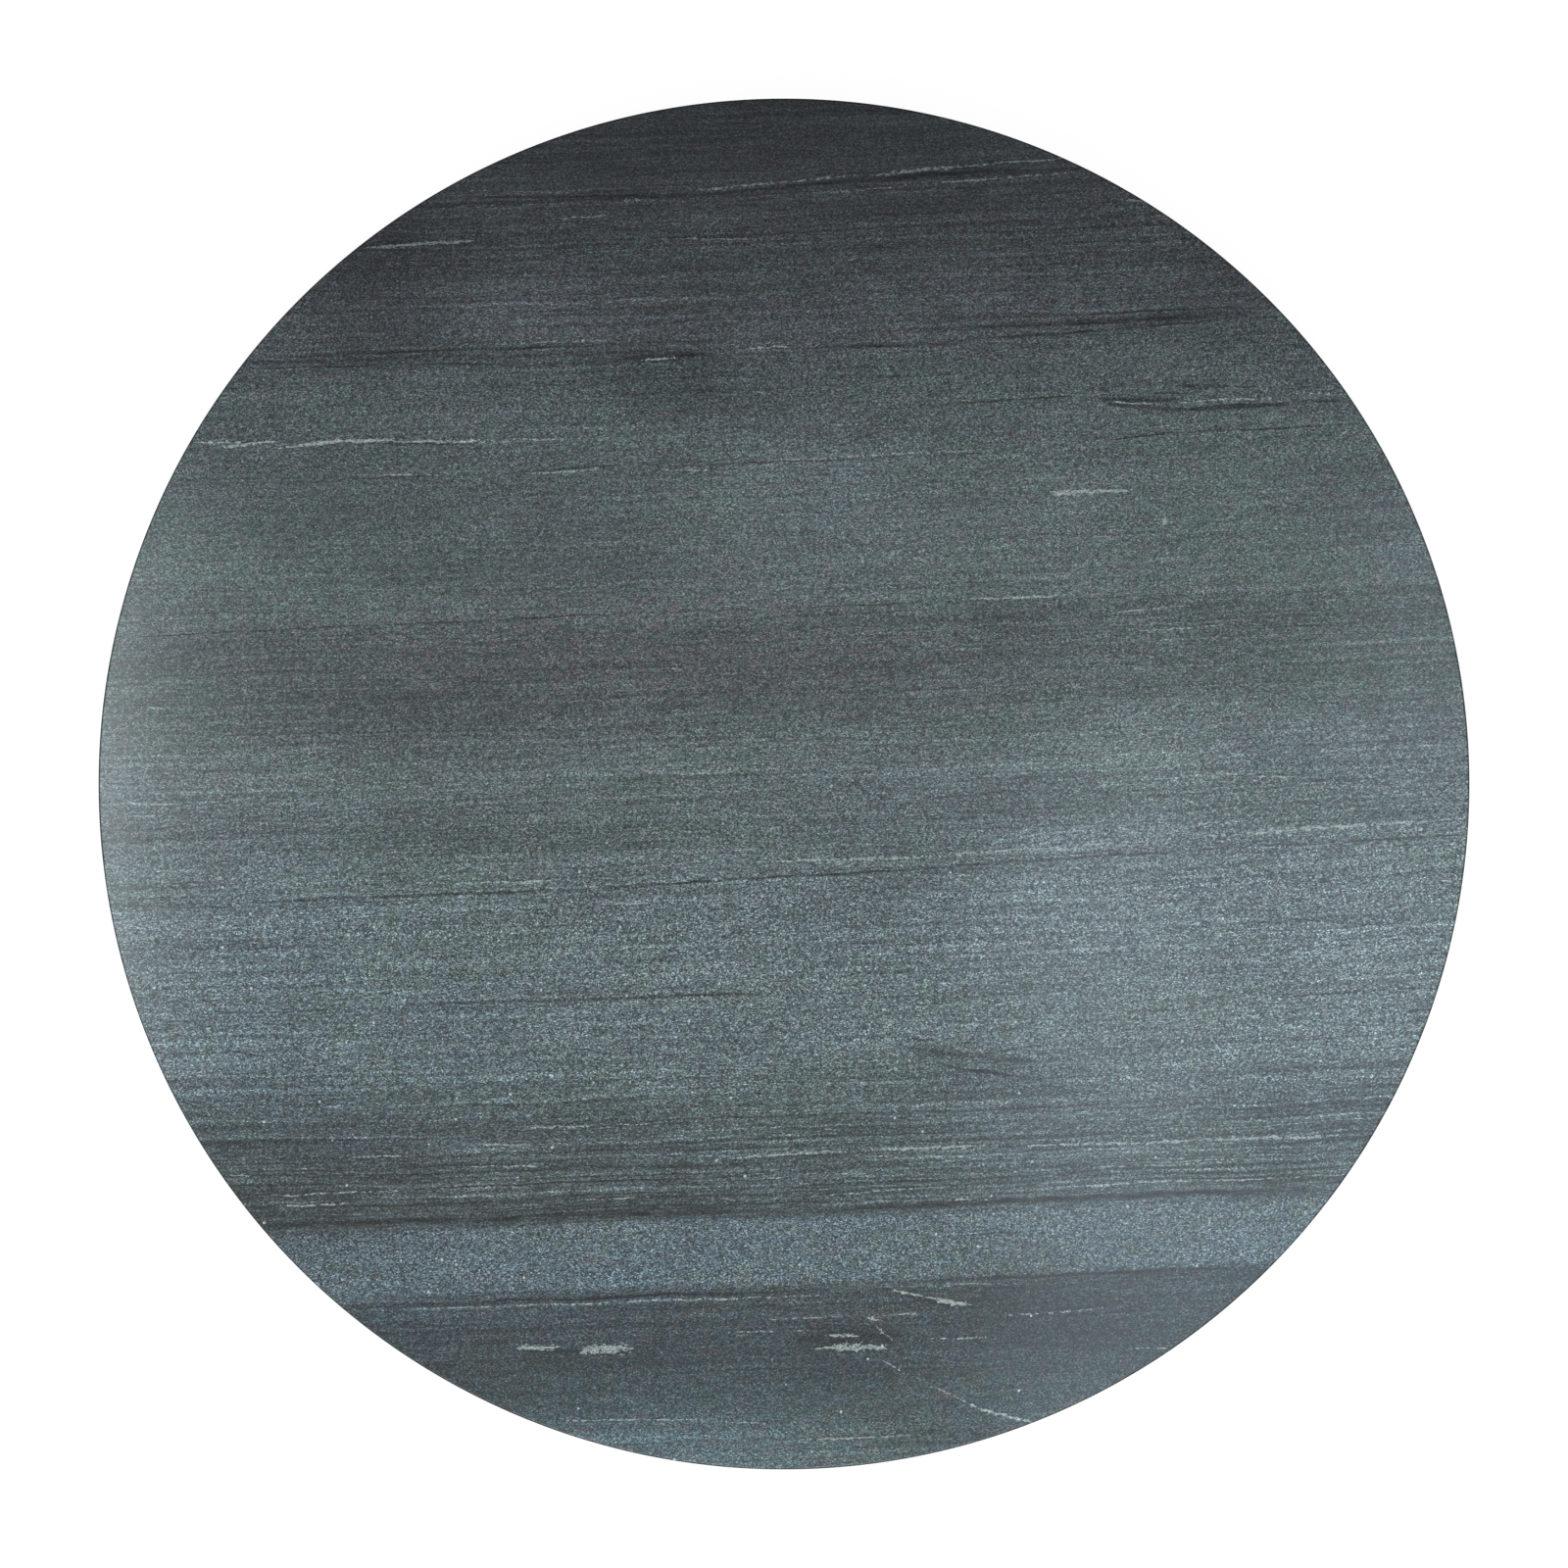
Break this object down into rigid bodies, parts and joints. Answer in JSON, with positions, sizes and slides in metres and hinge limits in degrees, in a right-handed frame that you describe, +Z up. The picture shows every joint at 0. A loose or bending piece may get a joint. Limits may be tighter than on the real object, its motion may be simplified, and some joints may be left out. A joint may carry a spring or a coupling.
{
  "type": "round stone table top",
  "caption": "Round table top of bedded dark grey stone, honed flat, on a bonded plywood panel with threaded inserts for bolting it to a base.",
  "frame": {"origin": "centre of the plywood panel's underside, which the top rests on", "axes": "+Z up through the honed face, along the axis of the disc; +X along the bedding lines, to the right in the picture; +Y up the picture"},
  "size_m": [0.9, 0.9, 0.039],
  "materials": {
    "honed_stone": "honed, satin, dark blue-grey with bedding lines and white veins",
    "glass_mesh": "woven glass mesh in clear resin",
    "plywood": "sanded birch plywood, sealed",
    "insert_brass": "turned, bright"
  },
  "bodies": {
    "root": {"stone_top": "honed_stone", "mesh_backing": "glass_mesh", "support_panel": "plywood", "threaded_inserts": "insert_brass"}
  },
  "joints": []
}
